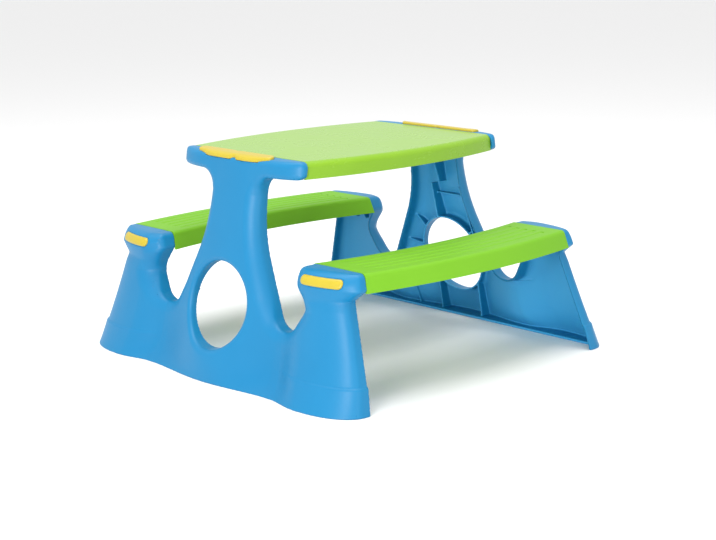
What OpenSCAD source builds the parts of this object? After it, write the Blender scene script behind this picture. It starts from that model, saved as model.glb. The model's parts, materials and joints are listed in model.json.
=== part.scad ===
// Children's picnic table, moulded in plastic, in millimetres.
// Two hollow end frames carry a table top and two bowed benches. X runs along the benches,
// Y across them and Z up. The origin is on the floor under the middle of the table.

/* [Table top] */
// Height of the table top above the floor
table_h = 480; // [470:1:490]
// Width of the table top where it meets the end frames
table_w = 390; // [376:1:396]
// How far each long edge of the table top bows out at its middle
table_bow = 35; // [20:1:40]
// Height of the skirt round the table top
table_skirt = 37; // [34:1:42]
// Radius of the upper edge of the table top
table_edge_r = 13; // [8:1:16]

/* [Benches] */
// Height of the seats above the floor
seat_h = 278; // [270:1:286]
// Distance from the middle of the table to the middle of a seat, at the seat's ends
seat_y = 319; // [314:1:324]
// Width of a seat at the foot of its skirt
seat_w = 175; // [168:1:180]
// Width of a seat along its upper edge
seat_top_w = 152; // [144:1:158]
// How far a bench bows out at its middle
seat_bow = 31; // [20:1:36]
// Height of the skirt round a seat
seat_skirt = 39; // [36:1:44]
// Number of shallow grooves along a seat
groove_count = 5; // [1:1:5]
// Distance between neighbouring grooves
groove_pitch = 24; // [20:1:25]
// Width of a groove
groove_w = 12; // [8:1:15]
// Depth of a groove
groove_depth = 1.4; // [0.8:0.2:2]

/* [End frames] */
// Distance from the middle of the table to the open rim of an end frame, at the floor
rim_reach = 346.5; // [340:0.5:356]
// How far the rim leans in for each millimetre of height
lean = 0.139; // [0.12:0.001:0.15]
// Width across both feet of an end frame
foot_span = 900; // [890:1:912]
// Height of the ledge round each foot
ledge_h = 57; // [50:1:64]
// How far the ledge stands out
ledge_w = 3; // [1:0.5:4]
// Depth of a foot from rim to face, at the floor
foot_depth = 85; // [78:1:92]
// Depth of an end frame from rim to face, in the neck and under the table
frame_depth = 38; // [34:1:42]
// Depth of an end frame from rim to face, in the legs
leg_depth = 48; // [42:1:50]
// Depth of the cap that closes the end of a bench
cap_depth = 60; // [56:1:66]
// Radius of the upper edge of a bench cap
cap_edge_r = 26; // [18:1:28]
// Radius of the upper edge of the table cap
top_cap_edge_r = 14; // [10:1:16]
// Radius of the rounded sides of the neck
neck_round = 32; // [20:1:33]
// Width of the rounded inner side of a leg
leg_round = 54; // [40:1:56]
// Radius of the rounded edge of the round opening
hole_round = 13; // [8:1:14]
// Half the width of the neck under the table
neck_half = 80; // [74:1:86]
// Diameter of the round opening in an end frame
hole_d = 185; // [160:1:190]
// Height of the middle of the round opening
hole_z = 160; // [154:1:166]
// Depth of the collar round the opening
collar_depth = 26; // [18:1:28]
// Thickness of every moulded wall
wall = 4; // [3:0.25:4.5]
// Width of the open rim of an end frame
rim_w = 6; // [5:0.25:7]
// Thickness of the stiffening ribs
rib_t = 3.5; // [2.5:0.25:4]

/* [Trims] */
// Length of the yellow trim on a table cap
top_trim_len = 260; // [240:2:270]
// Width of that trim at its middle
top_trim_w = 35; // [30:1:36]
// How far that trim lies to one side of the middle
top_trim_shift = 9; // [0:1:16]
// How far that trim stands proud of its cap
top_trim_proud = 5; // [3:0.2:5.4]
// Length of the yellow trim on a bench cap
bench_trim_len = 108; // [96:1:114]
// Height of that trim
bench_trim_h = 20; // [16:1:21]
// How far that trim stands proud of its cap
bench_trim_proud = 2.2; // [1:0.2:3]
// Depth of the recess that a trim sits in
trim_recess = 2; // [1:0.2:2.4]

/* [Fasteners] */
// Diameter of a screw's shank
screw_d = 4; // [3.5:0.1:5]
// Diameter of a screw's head
screw_head_d = 8.4; // [7.5:0.1:10]
// Clearance between pieces that meet
fit_gap = 0.3; // [0.2:0.05:0.5]

/* [Hidden] */
blue = "#3a9bd9";
yellow = "#ffcc30";
green = "#8fdb35";
// Step of the arcs in an outline, in degrees, and the gap that keeps touching faces apart
arc_step = 12;
touch = 0.05;
// Past this, a cutting shape clears what it cuts
over = 40;
table_half = table_w / 2;
foot_half = foot_span / 2;
cap_lip = 1.5;
top_cap_lip = 6;
top_cap_half = table_half + top_cap_lip;
top_cap_h = table_skirt + 1;
hole_r = hole_d / 2;
// Ends of a bench cap, across the seat
cap_in = seat_y - seat_w / 2 - cap_lip;
cap_out = seat_y + seat_w / 2 + cap_lip;
cap_top_in = seat_y - seat_top_w / 2 - cap_lip;
cap_top_out = seat_y + seat_top_w / 2 + cap_lip;
cap_low = seat_h - seat_skirt + 5;
leg_out = cap_out - 31;
leg_top = seat_h - seat_skirt - 18;
// Valley between the neck and a bench leg, where its two sides would meet
valley_y = 198;
valley_z = 82;
valley_r = 42;
valley_floor = 133;
leg_in = 262;
neck_top = table_h - top_cap_h - 2;

// Rounded outlines. A corner is [across, up, radius].
function unit(v) = v / norm(v);
function flat(p) = [p[0], p[1]];
function half_turn(a, b, c) = acos(max(-1, min(1, unit(flat(a) - flat(b)) * unit(flat(c) - flat(b))))) / 2;
function fitting_r(a, b, c) =
    min(b[2], 0.62 * min(norm(flat(a) - flat(b)), norm(flat(c) - flat(b))) * tan(half_turn(a, b, c)));
function corner_arc(a, b, c, r, step) =
    let (u = unit(flat(a) - flat(b)),
         w = unit(flat(c) - flat(b)),
         half = half_turn(a, b, c),
         centre = flat(b) + unit(u + w) * r / sin(half),
         start = flat(b) + u * r / tan(half) - centre,
         end = flat(b) + w * r / tan(half) - centre,
         from = atan2(start[1], start[0]),
         swing = atan2(end[1], end[0]) - from,
         turn = swing > 180 ? swing - 360 : swing < -180 ? swing + 360 : swing,
         steps = max(1, ceil(abs(turn) / step)))
    [for (i = [0:steps]) centre + r * [cos(from + turn * i / steps), sin(from + turn * i / steps)]];
function rounded(pts, step = arc_step) =
    let (n = len(pts))
    [for (i = [0:n - 1])
        let (a = pts[(i + n - 1) % n], b = pts[i], c = pts[(i + 1) % n])
        each (b[2] == 0 ? [flat(b)] : corner_arc(a, b, c, fitting_r(a, b, c), step))];
// Moves the corners of a clockwise outline inwards, keeping its walls parallel
function inset_corners(pts, gap) =
    let (n = len(pts))
    [for (i = [0:n - 1])
        let (b = pts[i],
             u = unit(flat(b) - flat(pts[(i + n - 1) % n])),
             w = unit(flat(pts[(i + 1) % n]) - flat(b)),
             inward = [u[1] + w[1], -u[0] - w[0]],
             corner = flat(b) + inward * gap / (1 + u * w),
             r = b[2] == 0 ? 0 : u[0] * w[1] - u[1] * w[0] < 0 ? max(0.5, b[2] - gap) : b[2] + gap)
        [corner[0], corner[1], r]];
function both_sides(half) =
    concat(half, [for (i = [len(half) - 1:-1:0]) [-half[i][0], half[i][1], half[i][2]]]);
// Radius of an arc that bows out by bow over a half length
function bow_radius(half_length, bow) = (half_length * half_length + bow * bow) / (2 * bow);

// Outline of an end frame, seen along the benches: table cap, neck, valley, bench cap, leg, foot
frame_half = [
    [top_cap_half, table_h, 16],
    [top_cap_half, table_h - top_cap_h, 17],
    [neck_half + 2, neck_top, 32],
    [neck_half, (table_h + valley_z) / 2 + 41, 280],
    [valley_y, valley_z, valley_r],
    [leg_in, seat_h - 80, 36],
    [cap_in, seat_h - 32, 12],
    [cap_top_in, seat_h, 16],
    [cap_top_out, seat_h, 16],
    [cap_out, cap_low, 10],
    [leg_out, leg_top, 18],
    [foot_half - 14 - ledge_w, ledge_h + 1, 1.5],
    [foot_half - 14, ledge_h - 1, 1],
    [foot_half, 0, 0]];
function frame_outline(gap, step = arc_step) = rounded(inset_corners(both_sides(frame_half), gap), step);

// The face of an end frame. Its depth from the rim is a smooth function of place, so that the feet
// flare, the caps swell and the outer sides turn in along superellipses.
// Above this height only the neck and the table cap are left
above_seats = seat_h + 60;
top_cap_crown = 95;
function side_depth(z) = z > above_seats ? 5 : 13;
function rim_x(z) = rim_reach - lean * z;
function bell(t) = abs(t) < 1 ? pow(cos(90 * t), 1.5) : 0;
function fade(z, length) = exp(-max(0, z) / length);
function outer_y(z) = lookup(z, [
    [0, foot_half], [ledge_h - 1, foot_half - 14], [ledge_h + 1, foot_half - 14 - ledge_w],
    [leg_top, leg_out], [cap_low, cap_out], [seat_h, cap_top_out],
    [neck_top - 8, top_cap_half], [table_h, top_cap_half]]);
function crown_y(z) = lookup(z, [
    [0, seat_y - 9], [ledge_h, seat_y - 24], [seat_h - 60, seat_y - 34], [seat_h, seat_y - 34],
    [neck_top - 8, top_cap_half - top_cap_crown]]);
function roundness(z) = lookup(z, [
    [0, 2.15], [leg_top - 20, 2.15], [cap_low, 1.65], [seat_h, 1.65], [neck_top, 1.9]]);
function middle_depth(z) =
    frame_depth - 5 + (foot_depth - frame_depth + 7) / (1 + pow(max(0, z) / 200, 2.2));
function edge_depth(z) = frame_depth - 2 + (foot_depth - frame_depth - 12) * fade(z, 28);
function crown_depth(z) = z > above_seats ? frame_depth : leg_depth + (foot_depth - leg_depth) * fade(z, 85)
    + (cap_depth - leg_depth - 2) * bell((z - seat_h + 20) / 44);
// What is left of the depth near the rounded upper edge of a cap
function edge_round(z, top, r, depth) =
    let (d = max(0, min(r, z - top + r)))
    1 - (r - sqrt(r * r - d * d)) / depth;
function top_round(y, z, gap) = y > valley_y && z <= seat_h
    ? edge_round(z, seat_h - gap, cap_edge_r - gap, cap_depth)
    : edge_round(z, table_h - gap, top_cap_edge_r - gap, frame_depth + 2);
// The hollow stays this many walls lower under the flare of a cap
under_cap = 1.3;
function inner_reach(z) = lookup(z, [[seat_h - 80, 90], [seat_h - 30, 58]]);
function face_depth(y, z, gap) =
    let (crown = crown_y(z),
         p = roundness(z),
         out = min(outer_y(z), outer_y(z - under_cap * gap)) - gap,
         t = min(1, (y - crown) / (out - crown)))
    y > crown
        ? side_depth(z) + (crown_depth(z) - gap - side_depth(z)) * pow(1 - pow(t, p), 1 / p)
        : edge_depth(z) - gap + (middle_depth(z) - edge_depth(z)) * bell(y / 190)
            + (crown_depth(z) - edge_depth(z)) * bell((crown - y) / inner_reach(z));
function face_x(y, z, gap = 0) = rim_x(z) + face_depth(abs(y), z, gap) * top_round(abs(y), z, gap);

// Heights and places across at which the face is sampled
function near_top(top, r, gap) = [for (a = [0:gap > 0 ? 30 : 18:90]) top - gap - (r - gap) * (1 - sin(a))];
function face_rows(gap) = concat(
    [-3, 13, 32, ledge_h - 1, ledge_h + 1],
    [for (k = [1:5]) ledge_h + (leg_top - ledge_h) * k / 5],
    [leg_top + 12, cap_low - 1],
    near_top(seat_h, cap_edge_r, gap),
    [for (k = [1:3]) seat_h + (neck_top - 6 - seat_h) * k / 3],
    near_top(table_h, top_cap_edge_r, gap),
    [table_h + 2 * top_trim_proud]);
corner_angles = [0, 22, 42, 60, 76, 90];
hollow_angles = [0, 30, 55, 75, 90];
past_side = 15;
// Places across at one height, from the middle to past the outer side
function face_columns(z, gap) =
    let (crown = crown_y(z), out = outer_y(z) - gap, inner_steps = gap > 0 ? 6 : 8)
    concat(
        [for (j = [0:inner_steps - 1]) crown * j / inner_steps],
        [for (a = gap > 0 ? hollow_angles : corner_angles)
            crown + (out - crown) * pow(sin(a), 2 / roundness(z))],
        [out + past_side]);
function mirrored_columns(c) = concat([for (i = [len(c) - 1:-1:1]) -c[i]], c);
// A block from the rim, or from behind it, to the face
module face_block(gap, rows, lists, back) {
    nr = len(rows);
    nc = len(lists[0]);
    last = nc - 1;
    low = nr * nc;
    high = low + nc;
    rear_point = function(i, y) [rim_x(rows[i]) + back, y, rows[i]];
    rear = function(i, side)
        i == 0 ? low + side * last : i == nr - 1 ? high + side * last : high + nc + 2 * (i - 1) + side;
    points = concat(
        [for (i = [0:nr - 1]) for (y = lists[i]) [face_x(y, rows[i], gap), y, rows[i]]],
        [for (y = lists[0]) rear_point(0, y)],
        [for (y = lists[nr - 1]) rear_point(nr - 1, y)],
        [for (i = [1:nr - 2]) each [rear_point(i, lists[i][0]), rear_point(i, lists[i][last])]]);
    polyhedron(points, concat(
        [for (i = [0:nr - 2]) for (j = [0:last - 1])
            let (p = i * nc + j)
            each [[p, p + nc, p + 1], [p + 1, p + nc, p + nc + 1]]],
        [for (i = [1:nr - 3]) [rear(i, 0), rear(i, 1), rear(i + 1, 1), rear(i + 1, 0)]],
        [concat([rear(1, 0)], [for (j = [0:last]) low + j], [rear(1, 1)])],
        [concat([rear(nr - 2, 0), rear(nr - 2, 1)], [for (j = [last:-1:0]) high + j])],
        [for (i = [0:nr - 2]) each [
            [i * nc, rear(i, 0), rear(i + 1, 0), (i + 1) * nc],
            [i * nc + last, (i + 1) * nc + last, rear(i + 1, 1), rear(i, 1)]]],
        [for (j = [0:last - 1])
            let (top = (nr - 1) * nc + j)
            each [[j, j + 1, low + j + 1, low + j], [top + 1, top, high + j, high + j + 1]]]),
        convexity = 8);
}
module whole_face_block(gap, back) {
    rows = face_rows(gap);
    face_block(gap, rows, [for (z = rows) mirrored_columns(face_columns(z, gap))], back);
}
// An outline seen along the benches, drawn out along X
module along_x(outline, from, to) {
    translate([from, 0, 0])
        rotate([90, 0, 90])
            linear_extrude(to - from)
                polygon(outline);
}
// An outline given in X and Z, drawn out along Y
module along_y(outline, from, to) {
    translate([0, to, 0])
        rotate([90, 0, 0])
            linear_extrude(to - from)
                polygon(outline);
}

// Rounds an edge of the face along a row of places on the outline. A place is [across, up, width of
// the rounding, its depth]. What is cut away lies over a curve that climbs from the side to the face.
far_x = rim_reach + 3 * foot_depth;
edge_angles = [0, 24, 48, 72];
hollow_edge_angles = [0, 36, 70];
edge_over = 2;
function edge_section(p, inward, gap) =
    let (width = p[2] - gap,
         deep = p[3] - gap,
         spot = function(d, drop)
            let (q = flat(p) + inward * d)
            [face_x(q[0], q[1], gap) - drop, q[0], q[1]],
         lifted = function(d) let (q = flat(p) + inward * d) [far_x, q[0], q[1]])
    concat(
        [lifted(-edge_over), spot(-edge_over, deep)],
        [for (a = gap > 0 ? hollow_edge_angles : edge_angles)
            spot(width * (1 - cos(a)), deep * (1 - sin(a)))],
        [spot(width * 0.95, -edge_over), lifted(width * 0.95)]);
module edge_cutter(places, gap, closed) {
    n = len(places);
    inward = [for (i = [0:n - 1])
        let (run = unit(flat(places[closed ? (i + 1) % n : min(n - 1, i + 1)])
                - flat(places[closed ? (i + n - 1) % n : max(0, i - 1)])))
        [run[1], -run[0]]];
    sections = [for (i = [0:n - 1]) edge_section(places[i], inward[i], gap)];
    m = len(sections[0]);
    polyhedron([for (section = sections) each section], concat(
        [for (i = [0:closed ? n - 1 : n - 2]) for (k = [0:m - 1])
            let (a = i * m, b = ((i + 1) % n) * m, next = (k + 1) % m)
            each [[a + k, b + next, b + k], [a + k, a + next, b + next]]],
        closed ? [] : [[for (k = [m - 1:-1:0]) k], [for (k = [0:m - 1]) (n - 1) * m + k]]),
        convexity = 8);
}
// Splits what is longer than step, so that the rounding follows the face
function divided(points, step) = concat(
    [for (i = [0:len(points) - 2])
        let (run = points[i + 1] - points[i], count = ceil(norm(run) / step))
        each [for (k = [0:count - 1]) points[i] + run * k / count]],
    [points[len(points) - 1]]);
// From the underside of the table cap down the neck, round the valley, up the leg and its cap
valley_arc_step = 20;
valley_run = 38;
function valley_side(gap) = divided([for (p = frame_outline(gap, valley_arc_step))
    if (p[0] > 0 && p[0] < crown_y(seat_h) - 16 && p[1] < neck_top + 2 * wall) p], valley_run);
// Width and depth of the rounding at a height, on the side of the neck and on the side of the leg
valley_round = [26, 14];
above_valley = valley_floor + 60;
neck_width = [[valley_floor, valley_round[0]], [above_valley, neck_round],
    [neck_top - 40, neck_round], [neck_top, 13]];
neck_drop = [[valley_floor, valley_round[1]], [above_valley, neck_round],
    [neck_top - 40, neck_round], [neck_top, 13]];
leg_width = [[valley_floor, valley_round[0]], [above_valley, leg_round], [seat_h - 66, leg_round * 0.6],
    [seat_h - 44, 12], [seat_h - 12, 11], [seat_h - wall, 5]];
leg_drop = [[valley_floor, valley_round[1]], [above_valley, leg_depth - 8], [seat_h - 66, 26],
    [seat_h - 44, 18], [seat_h - 12, 14], [seat_h - wall, 5]];
module valley_rounding(gap) {
    edge_cutter([for (p = valley_side(gap))
        p[0] < valley_y
            ? [p[0], p[1], lookup(p[1], neck_width), lookup(p[1], neck_drop)]
            : [p[0], p[1], lookup(p[1], leg_width), lookup(p[1], leg_drop)]], gap, false);
}
// The rounding starts a little inside the opening, clear of its true cylinder
module hole_rounding(gap) {
    start = hole_r - 0.4 + gap;
    edge_cutter([for (a = [0:15:345])
        [start * cos(a), hole_z + start * sin(a), hole_round, hole_round]], gap, true);
}

// A rib inside an end frame, from one place on the face to another, with its depth at each end
module face_rib(start, end, start_depth, end_depth, steps = 1) {
    run = end - start;
    length = norm(run);
    edge = [for (k = [0:steps])
        let (p = start + run * k / steps)
        [face_x(p[0], p[1]) - start_depth - (end_depth - start_depth) * k / steps, length * k / steps]];
    translate([0, start[0], start[1]])
        rotate([atan2(run[1], run[0]), 0, 0])
            linear_extrude(rib_t, center = true)
                polygon(concat(edge, [[far_x, length], [far_x, 0]]));
}
module on_both_sides() {
    children();
    mirror([0, 1, 0])
        children();
}
collar_r = hole_r + wall;
// A rib that runs out from the collar of the opening at an angle, its depth falling to nothing
module collar_fin(angle, reach, depth) {
    out = [cos(angle), sin(angle)];
    face_rib([0, hole_z] + (hole_r + wall / 2) * out, [0, hole_z] + reach * out, depth, wall, 2);
}
upright_top = table_h - 142;
cross_rib_z = upright_top - 24;
cap_rib_ys = [-30, 5, 40];
module frame_ribs() {
    face_rib([2, upright_top + 6], [2, table_h], frame_depth - 8, frame_depth + 4);
    face_rib([18, hole_z + hole_r - 4], [32, upright_top], frame_depth + 2, frame_depth - 10);
    face_rib([-89, hole_z + hole_r - 30], [-60, upright_top], collar_depth - 6, frame_depth - 10);
    face_rib([-61, cross_rib_z], [29, cross_rib_z], 17, 17);
    on_both_sides() {
        collar_fin(40, hole_r + 100, collar_depth - 7);
        collar_fin(9, hole_r + 100, collar_depth - 7);
        face_rib([hole_r * 0.72, 0], [hole_r * 0.72, hole_z - hole_r * 0.7], 36, collar_depth - 1);
        face_rib([valley_y + 6, valley_floor - 6], [valley_y + 50, valley_floor - 3], 15, 7);
    }
    face_rib([hole_r * 1.6, 0], [hole_r * 1.6, ledge_h + 9], 22, 12);
}
// The collar round the opening ends on a plane that leans with the face
module collar() {
    low = hole_z - collar_r - 1;
    high = hole_z + collar_r + 1;
    intersection() {
        translate([0, 0, hole_z])
            rotate([0, 90, 0])
                cylinder(r = collar_r, h = far_x, $fn = 96);
        along_y([
            [face_x(0, low) - collar_depth, low], [face_x(0, high) - collar_depth, high],
            [far_x, high], [far_x, low]],
            -collar_r - 1, collar_r + 1);
    }
}

// Shelves: tongues of an end frame that reach under the table top and the benches
bench_shelf_z = seat_h - 30;
top_shelf_z = table_h - 28;
bench_shelf_reach = 28;
top_shelf_reach = 30;
bench_shelf_half = 70;
top_shelf_half = 162;
bench_screw_spread = 40;
top_screw_ys = [-142, -55, 55, 142];
bench_screw_x = rim_x(bench_shelf_z) - bench_shelf_reach / 2;
top_screw_x = rim_x(top_shelf_z) - top_shelf_reach / 2;
seat_arc_r = bow_radius(rim_x(seat_h), seat_bow);
// Middle of a seat across, at a place along it
function seat_mid(x) = seat_y + seat_bow - seat_arc_r + sqrt(seat_arc_r * seat_arc_r - x * x);
bench_screw_ys = [for (side = [-1, 1]) seat_mid(bench_screw_x) + side * bench_screw_spread];
module tongue(top, reach, from, to, deep) {
    r = 10;
    tip = rim_x(top) - reach;
    root = rim_x(top) + deep;
    translate([0, 0, top - wall])
        linear_extrude(wall)
            polygon(rounded([[tip, from, r], [root, from, 0], [root, to, 0], [tip, to, r]]));
}
module shelves(deep) {
    tongue(top_shelf_z, top_shelf_reach, -top_shelf_half, top_shelf_half, deep);
    on_both_sides()
        tongue(bench_shelf_z, bench_shelf_reach,
            seat_y - bench_shelf_half, seat_y + bench_shelf_half, deep);
}
// Gussets that hold a bench shelf up from below
module shelf_gussets() {
    root = rim_x(bench_shelf_z) + frame_depth;
    for (offset = cap_rib_ys)
        along_y([
            [rim_x(bench_shelf_z), bench_shelf_z - wall / 2], [root, bench_shelf_z - wall / 2],
            [root, bench_shelf_z - 34], [root - 12, bench_shelf_z - 34]],
            seat_y + offset - rib_t / 2, seat_y + offset + rib_t / 2);
}
module drilled(x, ys, top, d) {
    for (y = ys)
        translate([x, y, top - wall - 1])
            cylinder(d = d, h = wall + 2, $fn = 32);
}

// Trims: a long one on each table cap and a short one on each bench cap
bench_trim_y = seat_y + 1;
bench_trim_z = seat_h - 20;
top_trim_in = rim_x(table_h) + 6;
trim_slant = 24;
// Outline of a table trim in X and Y. Both its long sides have a small notch, and one end slants.
function top_trim_outline(grow) =
    let (near = top_trim_in - grow,
         wide = near + top_trim_w + 2 * grow,
         low = -top_trim_shift - top_trim_len / 2 - grow,
         high = -top_trim_shift + top_trim_len / 2 + grow)
    rounded([
        [near, low, 9], [wide - 12, low + 3, 9], [wide + 1, low + 66, 140],
        [wide, -14, 6], [wide - 4, -6, 3], [wide - 4, 2, 3], [wide, 10, 6],
        [wide + 1, high - 72, 140], [wide - 12, high, 9], [near, high - trim_slant, 9],
        [near, -8, 6], [near + 3, -16, 3], [near + 3, -22, 3], [near, -30, 6]]);
// A block that ends between the given heights and places across, a gap behind the face
module face_part(gap, back, from, to, ys) {
    rows = [for (z = face_rows(gap)) if (z > from && z < to) z];
    face_block(gap, rows, [for (z = rows) ys], back);
}
function spread(from, to, count) = [for (i = [0:count]) from + (to - from) * i / count];
top_trim_ys = spread(-top_trim_len / 2 - top_trim_shift - 8, top_trim_len / 2 + 8, 9);
bench_trim_ys = spread(bench_trim_y - bench_trim_len / 2 - 6,
    bench_trim_y + bench_trim_len / 2 + 6, 7);
module top_trim_place(grow) {
    translate([0, 0, table_h - 9])
        linear_extrude(30)
            polygon(top_trim_outline(grow));
}
module bench_trim_place(grow) {
    half_len = bench_trim_len / 2 + grow;
    half_h = bench_trim_h / 2 + grow;
    translate([0, bench_trim_y, bench_trim_z])
        along_x(rounded([
            [-half_len, -half_h, half_h], [half_len, -half_h, half_h],
            [half_len, half_h, half_h], [-half_len, half_h, half_h]]),
            rim_reach - 60, rim_reach + foot_depth);
}
top_trim_low = table_h - top_cap_edge_r - 10;
bench_trim_low = seat_h - cap_edge_r - 10;
module top_trim_core(deep) {
    face_part(deep, -over, top_trim_low, table_h - deep + 0.01, top_trim_ys);
}
module bench_trim_core(deep) {
    face_part(deep, -over, bench_trim_low, seat_h - deep + 0.01, bench_trim_ys);
}
module top_trim() {
    color(yellow)
        difference() {
            intersection() {
                top_trim_place(0);
                face_part(-top_trim_proud, 2, top_trim_low, table_h + top_trim_proud + 0.01,
                    top_trim_ys);
            }
            top_trim_core(trim_recess);
        }
}
module bench_trim() {
    color(yellow)
        difference() {
            intersection() {
                bench_trim_place(0);
                face_part(-bench_trim_proud, 2, bench_trim_low, seat_h + bench_trim_proud + 0.01,
                    bench_trim_ys);
            }
            bench_trim_core(trim_recess);
        }
}

// An end frame: a hollow shell open towards the middle of the table, with ribs, a collar and shelves
module frame_hollow() {
    difference() {
        intersection() {
            along_x(frame_outline(rim_w), rim_x(table_h) - 2 * over, rim_reach + 2 * foot_depth);
            whole_face_block(wall, -over);
        }
        on_both_sides()
            valley_rounding(wall);
        hole_rounding(wall);
        frame_ribs();
        collar();
        shelves(frame_depth);
        on_both_sides()
            shelf_gussets();
    }
}
module trim_recesses() {
    difference() {
        top_trim_place(fit_gap / 2);
        top_trim_core(trim_recess + touch);
    }
    on_both_sides()
        difference() {
            bench_trim_place(fit_gap / 2);
            bench_trim_core(trim_recess + touch);
        }
}
floor_flange = 52;
module end_frame() {
    color(blue)
        difference() {
            union() {
                difference() {
                    intersection() {
                        along_x(frame_outline(0), rim_x(table_h) - over, rim_reach + 2 * foot_depth);
                        whole_face_block(0, 0);
                    }
                    on_both_sides()
                        valley_rounding(0);
                    hole_rounding(0);
                    frame_hollow();
                }
                shelves(wall);
            }
            trim_recesses();
            translate([0, 0, hole_z])
                rotate([0, 90, 0])
                    cylinder(r = hole_r, h = far_x, $fn = 96);
            translate([rim_x(0) - over, -foot_half + 2 * wall, -1])
                cube([over + foot_depth - floor_flange, foot_span - 4 * wall, rim_w + 2]);
            drilled(top_screw_x, top_screw_ys, top_shelf_z, screw_d + 0.8);
            on_both_sides()
                drilled(bench_screw_x, bench_screw_ys, bench_shelf_z, screw_d + 0.8);
        }
}
module end_frame_right() {
    end_frame();
}
module end_frame_left() {
    rotate([0, 0, 180])
        end_frame();
}

// What lies between the two rims, leaning in with them
module between_rims(low, high, clear) {
    along_y([
        [-rim_x(low) + clear, low], [rim_x(low) - clear, low],
        [rim_x(high) - clear, high], [-rim_x(high) + clear, high]], -foot_half, foot_half);
}

// Table top: a shallow tray turned over, its long edges bowed
table_arc_r = bow_radius(rim_x(table_h), table_bow);
table_axis = table_arc_r - table_half - table_bow;
table_low = table_h - table_skirt;
module table_lens(gap, low) {
    edge = table_arc_r - gap;
    top = table_h - gap;
    side = rounded([[0, low, 0], [edge, low, 0], [edge, top, max(1, table_edge_r - gap)], [0, top, 0]]);
    intersection() {
        translate([0, table_axis, 0])
            rotate_extrude($fn = 360)
                polygon(side);
        translate([0, -table_axis, 0])
            rotate_extrude($fn = 360)
                polygon(side);
    }
}
under_rib_h = 18;
module bosses(x, ys, low, high) {
    for (side = [-1, 1])
        for (y = ys)
            translate([side * x, y, low])
                cylinder(d = screw_d + 9, h = high - low, $fn = 48);
}
module boss_bores(x, ys, low, high) {
    for (side = [-1, 1])
        for (y = ys)
            translate([side * x, y, low - 1])
                cylinder(d = screw_d + 2 * touch, h = high - low + 1, $fn = 32);
}
table_rib_xs = [-225, -135, -45, 45, 135, 225];
screw_length = 20;
module table_top() {
    color(green)
        difference() {
            intersection() {
                table_lens(0, table_low);
                between_rims(table_low - 1, table_h + 1, fit_gap);
            }
            difference() {
                table_lens(wall, table_low - 1);
                translate([0, 0, table_h - wall - under_rib_h])
                    linear_extrude(under_rib_h + wall)
                        for (y = top_screw_ys)
                            translate([-rim_reach, y - rib_t / 2])
                                square([2 * rim_reach, rib_t]);
                translate([0, 0, table_h - wall - under_rib_h])
                    linear_extrude(under_rib_h + wall)
                        for (x = table_rib_xs)
                            translate([x - rib_t / 2, -table_w])
                                square([rib_t, 2 * table_w]);
                bosses(top_screw_x, top_screw_ys, top_shelf_z + touch, table_h);
            }
            boss_bores(top_screw_x, top_screw_ys, top_shelf_z, top_shelf_z + screw_length - wall);
        }
}

// Bench: a bowed tray turned over, with shallow grooves along its seat
seat_axis = seat_arc_r - seat_y - seat_bow;
seat_sweep = 13;
seat_low = seat_h - seat_skirt;
function seat_section(gap, low) = rounded([
    [-seat_w / 2 + gap, low, 0],
    [-seat_top_w / 2 + gap, seat_h - gap, 10],
    [seat_top_w / 2 - gap, seat_h - gap, 10],
    [seat_w / 2 - gap, low, 0]]);
// Turns a section along the bow of the front bench
module along_bow(r, sweep) {
    translate([0, seat_axis, 0])
        rotate([0, 0, -90 - sweep])
            rotate_extrude(angle = 2 * sweep, $fn = 720)
                translate([r, 0])
                    children();
}
groove_end = rim_x(seat_h) - 46;
groove_middle = -4;
groove_floor = groove_w / 2;
groove_section = [
    [groove_floor / 2 - groove_w, groove_depth], [-groove_floor / 2, -groove_depth],
    [groove_floor / 2, -groove_depth], [groove_w - groove_floor / 2, groove_depth]];
module grooves() {
    for (i = [0:groove_count - 1]) {
        r = seat_arc_r + groove_middle + (i - (groove_count - 1) / 2) * groove_pitch;
        along_bow(r, asin(groove_end / r))
            translate([0, seat_h])
                polygon(groove_section);
    }
}
seat_rib_xs = [-200, -100, 0, 100, 200];
module bench() {
    color(green)
        difference() {
            intersection() {
                along_bow(seat_arc_r, seat_sweep)
                    polygon(seat_section(0, seat_low));
                between_rims(seat_low - 1, seat_h + 1, fit_gap);
            }
            difference() {
                along_bow(seat_arc_r, seat_sweep + 1)
                    polygon(seat_section(wall, seat_low - 1));
                for (side = [-1, 1])
                    along_bow(seat_arc_r + side * bench_screw_spread, seat_sweep + 2)
                        translate([-rib_t / 2, seat_h - wall - under_rib_h])
                            square([rib_t, under_rib_h + wall]);
                translate([0, 0, seat_h - wall - under_rib_h])
                    linear_extrude(under_rib_h + wall)
                        for (x = seat_rib_xs)
                            translate([x - rib_t / 2, -foot_half])
                                square([rib_t, foot_half]);
                bosses(bench_screw_x, -bench_screw_ys, bench_shelf_z + touch, seat_h);
            }
            grooves();
            boss_bores(bench_screw_x, -bench_screw_ys, bench_shelf_z, bench_shelf_z + screw_length - wall);
        }
}
module bench_front() {
    bench();
}
module bench_rear() {
    mirror([0, 1, 0])
        bench();
}

module table_trim_right() {
    top_trim();
}
module table_trim_left() {
    rotate([0, 0, 180])
        top_trim();
}
module bench_trim_rear_right() {
    bench_trim();
}
module bench_trim_rear_left() {
    mirror([1, 0, 0])
        bench_trim();
}
module bench_trim_front_right() {
    mirror([0, 1, 0])
        bench_trim();
}
module bench_trim_front_left() {
    mirror([1, 0, 0])
        mirror([0, 1, 0])
            bench_trim();
}

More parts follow.
